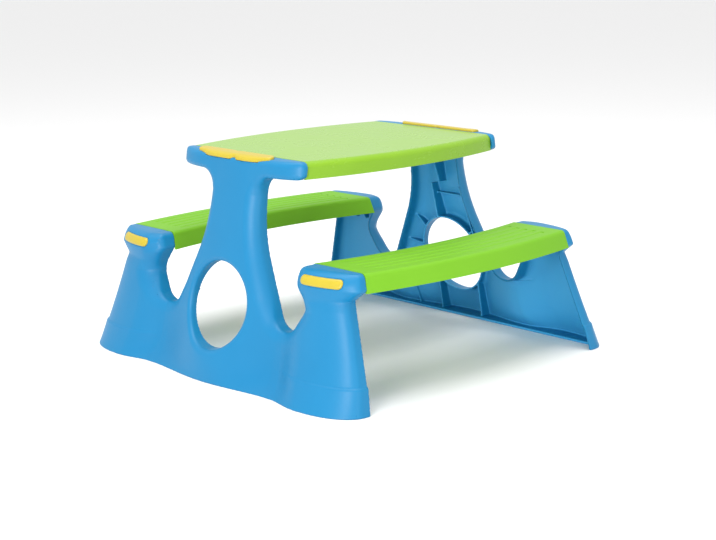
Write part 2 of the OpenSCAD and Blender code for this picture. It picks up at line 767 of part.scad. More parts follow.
// Pan-head screws, driven up through a shelf into the bosses above it
head_h = 2.8;
module screws(x, ys, shelf_top) {
    color("silver")
        for (side = [-1, 1])
            for (y = ys)
                translate([side * x, y, shelf_top - wall - touch])
                    union() {
                        cylinder(d = screw_d, h = screw_length - 1, $fn = 32);
                        translate([0, 0, -head_h])
                            cylinder(d1 = screw_head_d * 0.8, d2 = screw_head_d, h = head_h, $fn = 32);
                    }
}
module table_screws() {
    screws(top_screw_x, top_screw_ys, top_shelf_z);
}
module front_bench_screws() {
    screws(bench_screw_x, -bench_screw_ys, bench_shelf_z);
}
module rear_bench_screws() {
    screws(bench_screw_x, bench_screw_ys, bench_shelf_z);
}

end_frame_left();
end_frame_right();
table_top();
bench_front();
bench_rear();
table_trim_left();
table_trim_right();
bench_trim_front_left();
bench_trim_front_right();
bench_trim_rear_left();
bench_trim_rear_right();
table_screws();
front_bench_screws();
rear_bench_screws();
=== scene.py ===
"""A moulded picnic table for small children, with its plastics, lit in a studio.

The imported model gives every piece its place. The end frames and the trims are moulded again here at a
fine grain, from the same face as the solid model and from its sizes, apart from the collar and the foot
ledges, which follow the photograph more closely. The other pieces are kept and given their finishes. The
moulding works in millimetres, and the scene in metres. X runs along the benches, Y across them and Z up.
"""

import json
import logging
from collections.abc import Iterator
from dataclasses import dataclass, field
from enum import Enum

import bpy
import numpy as np
from mathutils import Matrix, Vector


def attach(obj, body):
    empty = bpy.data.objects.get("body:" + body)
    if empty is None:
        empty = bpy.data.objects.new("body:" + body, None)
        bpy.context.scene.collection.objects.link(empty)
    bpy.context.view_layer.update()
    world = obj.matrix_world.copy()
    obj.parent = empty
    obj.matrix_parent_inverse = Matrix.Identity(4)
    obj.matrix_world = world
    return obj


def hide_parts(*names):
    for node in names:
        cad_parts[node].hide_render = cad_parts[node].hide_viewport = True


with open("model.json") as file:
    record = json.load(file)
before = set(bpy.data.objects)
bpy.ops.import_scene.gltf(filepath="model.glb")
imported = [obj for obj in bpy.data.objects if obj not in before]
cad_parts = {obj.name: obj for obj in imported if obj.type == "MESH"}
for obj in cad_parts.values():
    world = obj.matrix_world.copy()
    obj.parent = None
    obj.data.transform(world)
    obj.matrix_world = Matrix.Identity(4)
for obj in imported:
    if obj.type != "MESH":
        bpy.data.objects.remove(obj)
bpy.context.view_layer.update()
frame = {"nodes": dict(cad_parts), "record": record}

log = logging.getLogger("picnic_table")

Array = np.ndarray
Pair = tuple[float, float]
Colour = tuple[float, float, float]
Corner = tuple[float, float, float]
MM = 0.001


class Slot(Enum):
    """Material slots of the record."""

    FRAME = "frame_blue"
    SEAT = "seat_green"
    TRIM = "trim_yellow"
    SCREW = "screw_steel"


@dataclass(frozen=True)
class Sizes:
    """Driving dimensions of the moulded pieces in millimetres."""

    table_h: float = 480.0
    table_w: float = 390.0
    table_skirt: float = 37.0
    seat_h: float = 278.0
    seat_y: float = 319.0
    seat_w: float = 175.0
    seat_top_w: float = 152.0
    seat_skirt: float = 39.0
    rim_reach: float = 346.5
    lean: float = 0.139
    foot_half: float = 450.0
    ledge_h: float = 57.0
    ledge_in: float = 13.0
    ledge_w: float = 4.5
    ledge_rise: float = 2.4
    foot_depth: float = 85.0
    frame_depth: float = 38.0
    leg_depth: float = 48.0
    cap_depth: float = 60.0
    cap_side: float = 13.0
    cap_edge_r: float = 26.0
    top_cap_side: float = 5.0
    top_cap_edge_r: float = 14.0
    neck_round: float = 32.0
    leg_round: float = 54.0
    hole_round: float = 13.0
    neck_half: float = 80.0
    hole_r: float = 92.5
    hole_z: float = 160.0
    collar_depth: float = 35.0
    wall: float = 4.0
    rim_w: float = 6.0
    rib_t: float = 3.5
    top_trim_len: float = 260.0
    top_trim_w: float = 35.0
    top_trim_shift: float = 9.0
    top_trim_proud: float = 5.0
    bench_trim_len: float = 108.0
    bench_trim_h: float = 20.0
    bench_trim_proud: float = 2.2
    trim_recess: float = 2.0
    fit_gap: float = 0.3
    cap_lip: float = 1.5
    top_cap_lip: float = 6.0
    valley_y: float = 198.0
    valley_z: float = 82.0
    valley_r: float = 42.0
    valley_floor: float = 133.0
    leg_in: float = 262.0
    leg_inset: float = 31.0
    top_shelf_drop: float = 28.0
    top_shelf_reach: float = 30.0
    top_shelf_half: float = 162.0
    bench_shelf_drop: float = 30.0
    bench_shelf_reach: float = 28.0
    bench_shelf_half: float = 70.0
    shelf_corner_r: float = 10.0
    gusset_h: float = 34.0

    @property
    def top_cap_half(self) -> float:
        """Half the width of a table cap."""
        return self.table_w / 2 + self.top_cap_lip

    @property
    def neck_top(self) -> float:
        """Height at which the neck meets the table cap."""
        return self.table_h - self.table_skirt - 3

    @property
    def cap_in(self) -> float:
        """Inner end of a bench cap."""
        return self.seat_y - self.seat_w / 2 - self.cap_lip

    @property
    def cap_out(self) -> float:
        """Outer end of a bench cap."""
        return self.seat_y + self.seat_w / 2 + self.cap_lip

    @property
    def cap_top_in(self) -> float:
        """Inner end of a bench cap at its top."""
        return self.seat_y - self.seat_top_w / 2 - self.cap_lip

    @property
    def cap_top_out(self) -> float:
        """Outer end of a bench cap at its top."""
        return self.seat_y + self.seat_top_w / 2 + self.cap_lip

    @property
    def cap_low(self) -> float:
        """Height of the lower edge of a bench cap."""
        return self.seat_h - self.seat_skirt + 5

    @property
    def leg_top(self) -> float:
        """Height at which a leg meets its bench cap."""
        return self.seat_h - self.seat_skirt - 18

    @property
    def leg_out(self) -> float:
        """Outer side of a leg under its bench cap."""
        return self.cap_out - self.leg_inset

    @property
    def bench_shelf(self) -> float:
        """Height of the top of a bench shelf."""
        return self.seat_h - self.bench_shelf_drop

    def rim_x(self, z: float | Array) -> float | Array:
        """Place of the open rim along X.

        Args:
            z: Height.

        Returns:
            The place at that height.
        """
        return self.rim_reach - self.lean * z

    def frame_corners(self) -> list[Corner]:
        """Corners of an end frame seen along the benches, each across, up and with its radius.

        Returns:
            The corners, round the whole outline.
        """
        half = [
            (self.top_cap_half, self.table_h, 16),
            (self.top_cap_half, self.neck_top + 2, 17),
            (self.neck_half + 2, self.neck_top, 32),
            (self.neck_half, (self.table_h + self.valley_z) / 2 + 41, 280),
            (self.valley_y, self.valley_z, self.valley_r),
            (self.leg_in, self.seat_h - 80, 36),
            (self.cap_in, self.seat_h - 32, 12),
            (self.cap_top_in, self.seat_h, 16),
            (self.cap_top_out, self.seat_h, 16),
            (self.cap_out, self.cap_low, 10),
            (self.leg_out, self.leg_top, 18),
            (self.foot_half - self.ledge_in - self.ledge_w, self.ledge_h + 1, 1.5),
            (self.foot_half - self.ledge_in, self.ledge_h - 1, 1),
            (self.foot_half, 0, 0),
        ]
        return half + [(-y, z, radius) for y, z, radius in reversed(half)]


SIZES = Sizes()


def smooth_max(first: Array, second: Array, blend: float) -> Array:
    """The larger of two fields, with the crease between them rounded.

    Args:
        first: First field.
        second: Second field.
        blend: Width of the rounding.

    Returns:
        The joined field.
    """
    extra = np.maximum(blend - np.abs(first - second), 0.0)
    return np.maximum(first, second) + extra * extra / (4.0 * blend)


def along(places: list[Pair], z: Array) -> Array:
    """Straight lines between given values at given heights.

    Args:
        places: Heights, each with its value.
        z: Heights to look up.

    Returns:
        The values there.
    """
    return np.interp(z, *zip(*places))


def bell(t: Array) -> Array:
    """A smooth hump from -1 to 1, 1 high.

    Args:
        t: Place on the hump.

    Returns:
        Its height there.
    """
    return np.maximum(np.cos(np.pi / 2 * np.clip(t, -1, 1)), 0.0) ** 1.5


def fade(z: Array, length: float) -> Array:
    """Falls off with height.

    Args:
        z: Height.
        length: Height at which it is down to about a third.

    Returns:
        Its value there, 1 at the floor.
    """
    return np.exp(-np.maximum(0, z) / length)


def rounded(corners: list[Corner], step: float = 4.0) -> Array:
    """Outline with an arc at each corner.

    Args:
        corners: Corners, each across, up and with its radius.
        step: Most degrees in a step of an arc.

    Returns:
        Points of the closed outline.
    """
    points = []
    for index, (y, z, radius) in enumerate(corners):
        here = np.array((y, z))
        before = corners[index - 1][:2] - here
        after = corners[(index + 1) % len(corners)][:2] - here
        if radius == 0:
            points.append(here)
            continue
        reach = min(np.linalg.norm(before), np.linalg.norm(after))
        before, after = before / np.linalg.norm(before), after / np.linalg.norm(after)
        half = np.arccos(np.clip(before @ after, -1, 1)) / 2
        fitting = min(radius, 0.62 * reach * np.tan(half))
        centre = here + (before + after) / np.linalg.norm(before + after) * fitting / np.sin(half)
        start = here + before * fitting / np.tan(half) - centre
        end = here + after * fitting / np.tan(half) - centre
        first = np.arctan2(start[1], start[0])
        swing = (np.arctan2(end[1], end[0]) - first + np.pi) % (2 * np.pi) - np.pi
        count = max(2, int(np.ceil(abs(np.degrees(swing)) / step)) + 1)
        points += [centre + fitting * np.array((np.cos(first + turn), np.sin(first + turn)))
                   for turn in np.linspace(0, swing, count)]
    return np.array(points)


def outline_distance(points: Array, across: Array, up: Array) -> tuple[Array, Array, Array]:
    """Distance to a closed outline, and the nearest place on it.

    Args:
        points: Points of the outline.
        across: First coordinate of the samples.
        up: Second coordinate of the samples.

    Returns:
        The distance, below zero inside, and both coordinates of the nearest place.
    """
    best = np.full(across.shape, 1e9, np.float32)
    near_y, near_z = np.zeros_like(best), np.zeros_like(best)
    inside = np.zeros(across.shape, bool)
    for start, end in zip(points, np.roll(points, -1, axis=0)):
        run = end - start
        square = run @ run
        if square < 1e-9:
            continue
        share = np.clip(((across - start[0]) * run[0] + (up - start[1]) * run[1]) / square, 0, 1)
        place_y, place_z = start[0] + share * run[0], start[1] + share * run[1]
        gap = (across - place_y) ** 2 + (up - place_z) ** 2
        closer = gap < best
        best[closer], near_y[closer], near_z[closer] = gap[closer], place_y[closer], place_z[closer]
        if run[1] != 0:
            inside ^= ((start[1] > up) != (end[1] > up)) & (
                across < run[0] * (up - start[1]) / run[1] + start[0])
    distance = np.sqrt(best)
    return np.where(inside, -distance, distance), near_y, near_z


@dataclass
class FaceSheet:
    """The face of an end frame over a sheet of places across and up."""

    height: Array
    base: Array
    deep: Array
    turn: Array
    wide: Array
    power: Array


@dataclass(frozen=True)
class Face:
    """The face of an end frame, whose depth is a smooth function of place.

    The feet flare, the caps swell, and the outer sides turn in along superellipses.
    """

    s: Sizes
    leg_power: float = 2.15
    cap_power: float = 1.65
    top_power: float = 1.9
    middle_fade: float = 200.0
    edge_fade: float = 28.0
    leg_fade: float = 85.0
    swell_half: float = 44.0

    def outer_y(self, z: Array) -> Array:
        """Outer side of the frame.

        Args:
            z: Height.

        Returns:
            The distance from the middle.
        """
        s = self.s
        ledge = s.foot_half - s.ledge_in
        return along([
            (0, s.foot_half), (s.ledge_h - 1, ledge), (s.ledge_h + 1, ledge - s.ledge_w),
            (s.leg_top, s.leg_out), (s.cap_low, s.cap_out), (s.seat_h, s.cap_top_out),
            (s.neck_top - 8, s.top_cap_half), (s.table_h, s.top_cap_half)], z)

    def crown_y(self, z: Array) -> Array:
        """Place across at which the face starts to turn in.

        Args:
            z: Height.

        Returns:
            The distance from the middle.
        """
        s = self.s
        return along([
            (0, s.seat_y - 9), (s.ledge_h, s.seat_y - 24), (s.seat_h - 60, s.seat_y - 34),
            (s.seat_h, s.seat_y - 34), (s.neck_top - 8, s.top_cap_half - 95)], z)

    def edge_left(self, z: Array, top: float, radius: float, whole: float) -> Array:
        """What is left of the depth near the rounded upper edge of a cap.

        Args:
            z: Height.
            top: Height of the cap.
            radius: Radius of its edge.
            whole: Depth of the cap.

        Returns:
            The share that is left.
        """
        drop = np.clip(z - top + radius, 0, radius)
        return 1 - (radius - np.sqrt(np.maximum(radius * radius - drop * drop, 0.0))) / whole

    def sheet(self, across: Array, z: Array, gap: float) -> FaceSheet:
        """Works out the face over many places.

        Args:
            across: Places across.
            z: Heights.
            gap: How far behind the outer face, or in front of it if below zero.

        Returns:
            The face there, and what its turned-in part is made from.
        """
        s = self.s
        y = np.abs(across)
        above = z > s.seat_h + 60
        side = np.where(above, s.top_cap_side, s.cap_side)
        power = along([(0, self.leg_power), (s.leg_top - 20, self.leg_power), (s.cap_low, self.cap_power),
                       (s.seat_h, self.cap_power), (s.neck_top, self.top_power)], z)
        flare = s.foot_depth - s.frame_depth
        middle = s.frame_depth - 5 + (flare + 7) / (1 + (np.maximum(0, z) / self.middle_fade) ** 2.2)
        edge = s.frame_depth - 2 + (flare - 12) * fade(z, self.edge_fade)
        leg = (s.leg_depth + (s.foot_depth - s.leg_depth) * fade(z, self.leg_fade)
               + (s.cap_depth - s.leg_depth - 2) * bell((z - s.seat_h + 20) / self.swell_half))
        if gap <= 0:
            leg += s.ledge_rise * np.clip(z / s.ledge_h, 0, 1) * np.clip((s.ledge_h + 1 - z) / 2, 0, 1)
        crown_depth = np.where(above, s.frame_depth, leg)
        crown = self.crown_y(z)
        out = np.minimum.reduce([self.outer_y(z + k * gap) for k in (-1.3, 0, 1.3)]) - gap
        reach = along([(s.seat_h - 80, 90), (s.seat_h - 30, 58)], z)
        turn = (y - crown) / (out - crown)
        turned = np.maximum(1 - np.clip(turn, 0, 1) ** power, 0.0) ** (1 / power)
        depth = np.where(
            y > crown,
            side + (crown_depth - gap - side) * turned,
            edge - gap + (middle - edge) * bell(y / np.minimum(190, crown))
            + (crown_depth - edge) * bell((crown - y) / reach))
        left = np.where(
            (y > s.valley_y) & (z < s.seat_h + 30),
            self.edge_left(z, s.seat_h - gap, s.cap_edge_r - gap, s.cap_depth),
            self.edge_left(z, s.table_h - gap, s.top_cap_edge_r - gap, s.frame_depth + 2))
        rim = s.rim_x(z)
        return FaceSheet(rim + depth * left, rim + side * left, (crown_depth - gap - side) * left,
                         turn, out - crown, power)

    def x(self, y: float, z: float) -> float:
        """Place of the outer face along X.

        Args:
            y: Place across.
            z: Height.

        Returns:
            The place there.
        """
        return float(self.sheet(np.array(y), np.array(z), 0.0).height)


@dataclass
class Net:
    """A surface of quads."""

    points: Array
    quads: Array

    def relax(self, rounds: int) -> "Net":
        """Evens out the surface without shrinking it.

        Args:
            rounds: Rounds of moving in and out again.

        Returns:
            This net.
        """
        smoothing, restoring = 0.5, -0.52
        edges = np.concatenate([np.stack((self.quads[:, k], self.quads[:, (k + 1) % 4]), axis=1)
                                for k in range(4)])
        near = np.bincount(edges[:, 0], minlength=len(self.points))[:, None]
        for turn in range(2 * rounds):
            mean = np.stack([np.bincount(edges[:, 0], self.points[edges[:, 1], axis], len(self.points))
                             for axis in range(3)], axis=1) / near
            self.points += (smoothing if turn % 2 == 0 else restoring) * (mean - self.points)
        return self

    def mesh(self, name: str, turned: Pair = (1, 1)) -> bpy.types.Mesh:
        """Makes a smooth mesh in metres.

        Args:
            name: Name of the mesh.
            turned: Signs of X and Y.

        Returns:
            The mesh.
        """
        quads = self.quads if turned[0] * turned[1] > 0 else self.quads[:, ::-1]
        mesh = bpy.data.meshes.new(name)
        mesh.vertices.add(len(self.points))
        mesh.vertices.foreach_set("co", (self.points * (*turned, 1) * MM).astype(np.float32).ravel())
        mesh.loops.add(quads.size)
        mesh.loops.foreach_set("vertex_index", quads.astype(np.int32).ravel())
        mesh.polygons.add(len(quads))
        mesh.polygons.foreach_set("loop_start", np.arange(0, quads.size, 4, dtype=np.int32))
        mesh.update(calc_edges=True)
        mesh.validate()
        mesh.shade_smooth()
        return mesh


class Block:
    """A block of sample points for the distance field of a solid, which is below zero inside."""

    def __init__(self, low: Corner, high: Corner, step: float) -> None:
        """Lays out the samples.

        Args:
            low: Lowest corner.
            high: Highest corner.
            step: Distance between samples.
        """
        self.step = step
        self.low = np.array(low)
        axes = [np.arange(a, b + step, step, dtype=np.float32) for a, b in zip(low, high)]
        self.x = axes[0][:, None, None]
        self.y = axes[1][None, :, None]
        self.z = axes[2][None, None, :]
        self.across, self.up = np.meshgrid(axes[1], axes[2], indexing="ij")

    def under(self, sheet: FaceSheet) -> Array:
        """Field of what lies behind a face.

        Args:
            sheet: The face over this block's places.

        Returns:
            The field.
        """
        dy, dz = np.gradient(sheet.height, self.step)
        share = np.maximum(0.2, 1 / np.sqrt(1 + dy * dy + dz * dz)).astype(np.float32)
        values = (self.x - sheet.height.astype(np.float32)[None]) * share[None]
        turned = sheet.turn > 0
        base, deep, turn, wide, power = (
            value[turned].astype(np.float32)
            for value in (sheet.base, sheet.deep, sheet.turn, sheet.wide, sheet.power))
        ahead = np.maximum((self.x[:, :, 0] - base) / deep, 1e-4)
        ahead_part, turn_part = ahead ** power, turn ** power
        total = ahead_part + turn_part
        whole = total ** (1 / power)
        slope_x = ahead_part / total * whole / (ahead * deep)
        slope_y = turn_part / total * whole / (turn * wide)
        values[:, turned] = (whole - 1) / np.sqrt(slope_x ** 2 + slope_y ** 2)
        return values

    def roll(self, values: Array, sheet: FaceSheet, aside: Array, wide: Array, deep: Array) -> Array:
        """Rounds an edge of a face along an outline.

        Args:
            values: Field of what lies behind the face.
            sheet: The face.
            aside: Distance to the outline, below zero inside.
            wide: Width of the rounding.
            deep: Its depth.

        Returns:
            The rounded field.
        """
        near = (deep > 0.8) & (-aside < wide)
        aside, wide, deep, height = (
            value[near].astype(np.float32) for value in (aside, wide, deep, sheet.height))
        ahead = np.maximum((self.x[:, :, 0] - height) / deep + 1, 0)
        beside = 1 + aside / wide
        whole = np.maximum(np.hypot(ahead, beside), 1e-3)
        slope = np.maximum(np.hypot(ahead / deep, beside / wide), 1e-3)
        values[:, near] = (whole - 1) * whole / slope
        return values

    def net(self, values: Array) -> Net:
        """Finds the surface on which a field is zero.

        Args:
            values: The field on this block.

        Returns:
            The surface.
        """
        inside = values < 0
        cells = np.zeros(tuple(n - 1 for n in values.shape), np.uint8)
        for i, j, k in np.ndindex(2, 2, 2):
            cells += inside[i:i + cells.shape[0], j:j + cells.shape[1], k:k + cells.shape[2]]
        active = np.argwhere((cells > 0) & (cells < 8))
        index = np.full(cells.shape, -1, np.int32)
        index[tuple(active.T)] = np.arange(len(active))
        total, count = np.zeros((len(active), 3)), np.zeros(len(active))
        for axis, a, b in np.ndindex(3, 2, 2):
            start = np.zeros(3, int)
            start[(axis + 1) % 3], start[(axis + 2) % 3] = a, b
            end = start.copy()
            end[axis] = 1
            first = values[tuple((active + start).T)].astype(float)
            last = values[tuple((active + end).T)].astype(float)
            crossing = (first < 0) != (last < 0)
            share = first[crossing] / (first[crossing] - last[crossing])
            total[crossing] += start + share[:, None] * (end - start)
            count[crossing] += 1
        points = (active + total / count[:, None]) * self.step + self.low
        return Net(points, np.concatenate([self.ring(inside, index, axis) for axis in range(3)]))

    @staticmethod
    def ring(inside: Array, index: Array, axis: int) -> Array:
        """Quads across the sample edges that run along one axis.

        Args:
            inside: Samples inside the solid.
            index: Number of each cell's point.
            axis: The axis.

        Returns:
            The quads.
        """
        here = [slice(1, -1)] * 3
        here[axis] = slice(0, -1)
        ahead = list(here)
        ahead[axis] = slice(1, None)
        first, last = inside[tuple(here)], inside[tuple(ahead)]
        changed = np.argwhere(first != last)
        out = first[tuple(changed.T)]
        changed += 1
        changed[:, axis] -= 1
        one, other = np.eye(3, dtype=int)[(axis + 1) % 3], np.eye(3, dtype=int)[(axis + 2) % 3]
        quads = np.stack([index[tuple((changed - shift).T)]
                          for shift in (one + other, other, 0 * one, one)], axis=1)
        quads[~out] = quads[~out][:, ::-1]
        return quads


@dataclass(frozen=True)
class TrimMould:
    """The yellow trims, and the places in the caps that they sit in."""

    face: Face
    top_step: float = 1.0
    bench_step: float = 0.8
    edge_blend: float = 4.0
    back_blend: float = 1.0
    rounds: int = 3

    def top_outline(self, grow: float) -> Array:
        """Outline of a table trim in X and Y, with small notches and one slanting end.

        Args:
            grow: How far it is let out.

        Returns:
            Its points.
        """
        s = self.face.s
        near = s.rim_x(s.table_h) + 6 - grow
        wide = near + s.top_trim_w + 2 * grow
        low = -s.top_trim_shift - s.top_trim_len / 2 - grow
        high = -s.top_trim_shift + s.top_trim_len / 2 + grow
        return rounded([
            (near, low, 9), (wide - 12, low + 3, 9), (wide + 1, low + 66, 140), (wide, -14, 6),
            (wide - 4, -6, 3), (wide - 4, 2, 3), (wide, 10, 6), (wide + 1, high - 72, 140),
            (wide - 12, high, 9), (near, high - 24, 9),
            (near, -8, 6), (near + 3, -16, 3), (near + 3, -22, 3), (near, -30, 6)], 8.0)

    def top_place(self, block: Block, grow: float) -> Array:
        """Field of the place of a table trim.

        Args:
            block: Block of samples.
            grow: How far it is let out.

        Returns:
            The field.
        """
        across, up = np.broadcast_arrays(block.x[:, :, 0], block.y[:, :, 0])
        flat = outline_distance(self.top_outline(grow), across, up)[0].astype(np.float32)
        return np.maximum(flat[:, :, None], self.face.s.table_h - 9 - block.z)

    def bench_place(self, block: Block, grow: float, side: int) -> Array:
        """Field of the place of a bench trim.

        Args:
            block: Block of samples.
            grow: How far it is let out.
            side: Sign of Y.

        Returns:
            The field.
        """
        s = self.face.s
        straight = (s.bench_trim_len - s.bench_trim_h) / 2
        past = np.maximum(np.abs(side * block.across - s.seat_y - 1) - straight, 0)
        flat = np.hypot(past, block.up - s.seat_h + 20) - s.bench_trim_h / 2 - grow
        return flat.astype(np.float32)[None] + 0 * block.x

    def behind(self, block: Block, gap: float) -> Array:
        """Field of what lies behind the face, a gap deep.

        Args:
            block: Block of samples.
            gap: The gap, below zero in front of the face.

        Returns:
            The field.
        """
        return block.under(self.face.sheet(block.across, block.up, gap))

    def recesses(self, block: Block) -> Iterator[Array]:
        """Fields of the recesses in an end frame.

        Args:
            block: Block of samples.

        Yields:
            The field of each recess.
        """
        s = self.face.s
        deep = s.trim_recess + 0.05
        core = self.behind(block, deep)
        below = np.maximum(core, block.z - s.table_h + deep)
        yield np.maximum(self.top_place(block, s.fit_gap / 2), -below)
        for side in (-1, 1):
            yield np.maximum(self.bench_place(block, s.fit_gap / 2, side), -core)

    def top(self) -> Net:
        """Moulds a table trim.

        Returns:
            Its surface.
        """
        s = self.face.s
        edge = s.rim_x(s.table_h)
        block = Block((edge - 4, -150, s.table_h - 18), (edge + 52, 132, s.table_h + 9), self.top_step)
        proud = smooth_max(self.behind(block, -s.top_trim_proud),
                           block.z - s.table_h - s.top_trim_proud, self.edge_blend)
        core = np.maximum(self.behind(block, s.trim_recess), block.z - s.table_h + s.trim_recess)
        solid = smooth_max(proud, self.top_place(block, 0.0), self.edge_blend)
        return block.net(smooth_max(solid, -core, self.back_blend)).relax(self.rounds)

    def bench(self) -> Net:
        """Moulds a bench trim.

        Returns:
            Its surface.
        """
        s = self.face.s
        edge = s.rim_x(s.seat_h)
        block = Block((edge + 5, s.seat_y - 60, s.seat_h - 38), (edge + 72, s.seat_y + 62, s.seat_h + 2),
                      self.bench_step)
        solid = smooth_max(self.behind(block, -s.bench_trim_proud), self.bench_place(block, 0.0, 1),
                           self.edge_blend)
        core = self.behind(block, s.trim_recess)
        return block.net(smooth_max(solid, -core, self.back_blend)).relax(self.rounds)


@dataclass
class FrameMould:
    """An end frame: a hollow shell open towards the table, with ribs, a collar and shelves."""

    face: Face
    step: float = 2.0
    reach_x: Pair = (250.5, 438.0)
    least_wall: float = 0.95
    crease: float = 2.5
    rim_blend: float = 1.2
    lip_blend: float = 3.0
    rib_blend: float = 2.0
    inner_blend: float = 1.5
    hole_blend: float = 2.0
    rounds: int = 8
    block: Block = field(init=False)

    def __post_init__(self) -> None:
        """Lays out the samples, and the distances to the outline and the round opening."""
        s = self.face.s
        self.block = Block((self.reach_x[0], -s.foot_half - 5, -5.0),
                           (self.reach_x[1], s.foot_half + 5, s.table_h + 8), self.step)
        self.outline, self.near_y, self.near_z = outline_distance(
            rounded(s.frame_corners()), self.block.across, self.block.up)
        self.opening = s.hole_r - np.hypot(self.block.across, self.block.up - s.hole_z)

    def rolled(self, gap: float, opened: bool = True) -> Array:
        """Field behind the face, with the sides of the valleys and of the opening rounded.

        Args:
            gap: How far behind the outer face.
            opened: Whether the round opening counts.

        Returns:
            The field.
        """
        s, block = self.face.s, self.block
        above = s.valley_floor + 60
        neck = [(s.valley_floor, 26), (above, s.neck_round), (s.neck_top - 40, s.neck_round),
                (s.neck_top, 13)]
        neck_deep = [(s.valley_floor, 14)] + neck[1:]
        leg = [(s.valley_floor, 26), (above, s.leg_round), (s.seat_h - 66, s.leg_round * 0.6),
               (s.seat_h - 44, 12), (s.seat_h - 12, 11), (s.seat_h - s.wall, 5)]
        leg_deep = [(s.valley_floor, 14), (above, s.leg_depth - 8), (s.seat_h - 66, 26),
                    (s.seat_h - 44, 18), (s.seat_h - 12, 14), (s.seat_h - s.wall, 5)]
        on_neck = np.abs(self.near_y) < s.valley_y
        run_end = np.clip((s.seat_y - 44 - np.abs(self.near_y)) / 14, 0, 1)
        under_cap = np.clip((s.neck_top + 8 - self.near_z) / 8, 0, 1)
        fading = run_end * under_cap * (self.near_z > s.ledge_h)
        wide = np.where(on_neck, along(neck, self.near_z), along(leg, self.near_z))
        deep = np.where(on_neck, along(neck_deep, self.near_z), along(leg_deep, self.near_z))
        sheet = self.face.sheet(block.across, block.up, gap)
        solid = block.roll(block.under(sheet), sheet, self.outline + gap,
                           np.maximum(0.5, wide - gap), deep * fading - gap)
        if not opened:
            return solid
        hole_round = np.full_like(self.outline, s.hole_round - gap)
        return block.roll(solid, sheet, self.opening + gap, hole_round, hole_round)

    def rib(self, start: Pair, end: Pair, first: float, last: float, steps: int = 1) -> Array:
        """Field of a rib from one place of the face to another.

        Args:
            start: First place, across and up.
            end: Last place.
            first: Depth from the face at the first place.
            last: Depth at the last.
            steps: Straight stretches that it follows the face in.

        Returns:
            The field.
        """
        block = self.block
        run = np.subtract(end, start)
        length = np.linalg.norm(run)
        ahead = ((block.across - start[0]) * run[0] + (block.up - start[1]) * run[1]) / length
        aside = np.abs((block.up - start[1]) * run[0] - (block.across - start[0]) * run[1]) / length
        stations = np.linspace(0, 1, steps + 1)
        edge = [self.face.x(*(start + run * k)) - first - (last - first) * k for k in stations]
        flat = np.maximum(aside - self.face.s.rib_t / 2, np.maximum(-ahead, ahead - length))
        back = np.interp(ahead, stations * length, edge)
        return np.maximum(flat.astype(np.float32)[None], back.astype(np.float32)[None] - block.x)

    def ribs(self) -> Iterator[Array]:
        """Fields of the stiffening ribs, and of the collar round the opening.

        Yields:
            The field of each rib, and last of the collar.
        """
        s = self.face.s
        deep, hole_top = s.frame_depth, s.hole_z + s.hole_r
        upright_top = s.table_h - 142
        cross = upright_top - 24
        low_top = s.hole_z - s.hole_r * 0.7
        yield self.rib((2, upright_top + 6), (2, s.table_h), deep - 8, deep + 4)
        yield self.rib((18, hole_top - 4), (32, upright_top), deep + 2, deep - 10)
        yield self.rib((-89, hole_top - 30), (-60, upright_top), s.collar_depth - 6, deep - 10)
        yield self.rib((-61, cross), (29, cross), 17, 17)
        for side in (-1, 1):
            for angle in np.radians((40, 9)):
                out = np.array((side * np.cos(angle), np.sin(angle)))
                start, end = ((0, s.hole_z) + (s.hole_r + reach) * out for reach in (s.wall / 2, 100))
                yield self.rib(start, end, s.collar_depth - 7, s.wall, 2)
            low_y = side * s.hole_r * 0.72
            yield self.rib((low_y, 0), (low_y, low_top), 36, s.collar_depth - 9)
            yield self.rib((side * (s.valley_y + 6), s.valley_floor - 6),
                           (side * (s.valley_y + 50), s.valley_floor - 3), 15, 7)
        yield self.rib((s.hole_r * 1.6, 0), (s.hole_r * 1.6, s.ledge_h + 9), 22, 12)
        yield np.maximum((-self.opening - s.wall).astype(np.float32)[None], -self.past_collar())

    def past_collar(self) -> Array:
        """Field of what lies behind the collar, which ends on a plane that leans with the face.

        Returns:
            The field.
        """
        s, block = self.face.s, self.block
        reach = s.hole_r + s.wall + 1
        low, high = (self.face.x(0, s.hole_z + side * reach) for side in (-1, 1))
        return block.x - low - (high - low) * (block.z - s.hole_z + reach) / (2 * reach) + s.collar_depth

    def shelves(self, deep: float) -> Array:
        """Field of the tongues that reach under the table top and the benches.

        Args:
            deep: How far they go in from the rim.

        Returns:
            The field.
        """
        s, block = self.face.s, self.block
        x, y, radius = block.x[:, :, 0], block.y[:, :, 0], s.shelf_corner_r
        bench = (s.bench_shelf, s.bench_shelf_reach, s.bench_shelf_half)
        parts = []
        for middle, (top, reach, half) in (
                (0, (s.table_h - s.top_shelf_drop, s.top_shelf_reach, s.top_shelf_half)),
                (s.seat_y, bench), (-s.seat_y, bench)):
            past_x = s.rim_x(top) - reach + radius - x
            past_y = np.abs(y - middle) - half + radius
            corner = (np.hypot(np.maximum(past_x, 0), np.maximum(past_y, 0))
                      + np.minimum(np.maximum(past_x, past_y), 0) - radius)
            flat = np.maximum(corner, x - s.rim_x(top) - deep)
            parts.append(np.maximum(flat[:, :, None], np.abs(block.z - top + s.wall / 2) - s.wall / 2))
        return np.minimum.reduce(parts)

